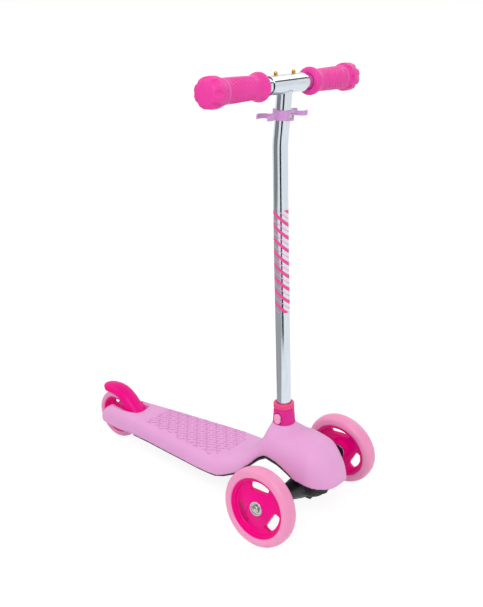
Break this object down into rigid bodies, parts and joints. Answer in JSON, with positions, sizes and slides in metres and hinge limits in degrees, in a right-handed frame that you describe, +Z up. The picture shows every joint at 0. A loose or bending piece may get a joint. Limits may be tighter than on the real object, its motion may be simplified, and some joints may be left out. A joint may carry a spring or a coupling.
{
  "type": "kids_scooter",
  "caption": "Lean-to-steer scooter for a small child: moulded deck with domed nose, cambered front wheels, braked tail wheel, and a T handlebar on a bright stem.",
  "frame": {"origin": "on the ground under the middle of the whole scooter", "axes": "+X forward, +Y to the rider's left, +Z up"},
  "size_m": [0.5326, 0.326, 0.665],
  "materials": {
    "deck_plastic": "lilac pink moulded plastic with a soft sheen",
    "tyre_pink": "pale pink polyurethane, slightly translucent",
    "hub_pink": "hot pink moulded plastic",
    "grip_pink": "hot pink soft rubber",
    "collar_pink": "magenta moulded plastic",
    "button_pink": "pale pink moulded plastic",
    "clip_lilac": "lilac moulded plastic",
    "black_plastic": "black moulded plastic with a fine grain",
    "black_rubber": "black rubber",
    "chrome": "bright plated tube",
    "steel": "bright zinc plating",
    "brass": "bare brass"
  },
  "bodies": {
    "chassis": {"deck_shell": "deck_plastic", "under_cover": "black_plastic", "kingpin_bolt": "steel", "kingpin_nut": "steel", "rear_wheel_bearing_spacer": "steel", "rear_axle": "steel", "rear_axle_retainer_right": "black_plastic", "rear_axle_retainer_left": "black_plastic", "brake_pin": "steel", "brake_spring": "steel", "collar_body": "collar_pink", "collar_cap": "collar_pink", "release_spring": "steel", "stem_tube": "chrome", "t_crossbar": "chrome", "storage_clip": "clip_lilac", "clip_screw": "steel", "cover_screw_rear_right": "steel", "cover_screw_rear_left": "steel", "cover_screw_middle_right": "steel", "cover_screw_middle_left": "steel", "cover_screw_nose_right": "steel", "cover_screw_nose_left": "steel", "handlebar_tube_right": "chrome", "grip_right": "grip_pink", "snap_spring_right": "steel", "handlebar_tube_left": "chrome", "grip_left": "grip_pink", "snap_spring_left": "steel"},
    "truck": {"truck": "black_plastic", "kingpin_bush_upper": "black_rubber", "kingpin_bush_lower": "black_rubber", "centring_rubber": "black_rubber", "front_wheel_right_bearing_spacer": "steel", "front_wheel_right_axle_bolt": "steel", "front_wheel_right_axle_washer": "steel", "front_wheel_right_axle_nut": "steel", "front_wheel_left_bearing_spacer": "steel", "front_wheel_left_axle_bolt": "steel", "front_wheel_left_axle_washer": "steel", "front_wheel_left_axle_nut": "steel"},
    "front_wheel_right": {"front_wheel_right_tyre": "tyre_pink", "front_wheel_right_hub": "hub_pink", "front_wheel_right_bearing_outer": "steel", "front_wheel_right_bearing_inner": "steel"},
    "front_wheel_left": {"front_wheel_left_tyre": "tyre_pink", "front_wheel_left_hub": "hub_pink", "front_wheel_left_bearing_outer": "steel", "front_wheel_left_bearing_inner": "steel"},
    "rear_wheel": {"rear_wheel_tyre": "tyre_pink", "rear_wheel_hub": "hub_pink", "rear_wheel_bearing_outer": "steel", "rear_wheel_bearing_inner": "steel"},
    "brake": {"rear_brake": "hub_pink", "brake_pad": "black_rubber"},
    "release_button": {"release_button": "button_pink"},
    "snap_button_right": {"snap_button_right": "brass"},
    "snap_button_left": {"snap_button_left": "brass"}
  },
  "joints": [
    {"name": "truck_steer", "type": "hinge", "parent": "chassis", "child": "truck", "pos_m": [0.19075, 0, 0.05], "axis": [0.5736, 0, 0.8192], "range_deg": [-12, 12], "stiffness_Nm_per_rad": 15, "deforming": ["centring_rubber"]},
    {"name": "front_wheel_right_spin", "type": "hinge", "parent": "truck", "child": "front_wheel_right", "pos_m": [0.19275, -0.1085, 0.05988], "axis": [0, -0.9945, 0.1045], "continuous": true},
    {"name": "front_wheel_left_spin", "type": "hinge", "parent": "truck", "child": "front_wheel_left", "pos_m": [0.19275, 0.1085, 0.05988], "axis": [0, 0.9945, 0.1045], "continuous": true},
    {"name": "rear_wheel_spin", "type": "hinge", "parent": "chassis", "child": "rear_wheel", "pos_m": [-0.22125, 0, 0.045], "axis": [0, 1, 0], "continuous": true},
    {"name": "brake_press", "type": "hinge", "parent": "chassis", "child": "brake", "pos_m": [-0.16825, 0, 0.059], "axis": [0, -1, 0], "range_deg": [0, 4.6], "stiffness_Nm_per_rad": 0.6, "springref_deg": -14.32},
    {"name": "release_button_press", "type": "slide", "parent": "chassis", "child": "release_button", "axis": [0, 1, 0], "range_m": [0, 0.003], "stiffness_N_per_m": 600, "springref_m": -0.003, "deforming": ["release_spring"]},
    {"name": "snap_button_right_press", "type": "slide", "parent": "chassis", "child": "snap_button_right", "axis": [0, 0, -1], "range_m": [0, 0.0064], "stiffness_N_per_m": 700, "springref_m": -0.003, "deforming": ["snap_spring_right"]},
    {"name": "snap_button_left_press", "type": "slide", "parent": "chassis", "child": "snap_button_left", "axis": [0, 0, -1], "range_m": [0, 0.0064], "stiffness_N_per_m": 700, "springref_m": -0.003, "deforming": ["snap_spring_left"]}
  ]
}
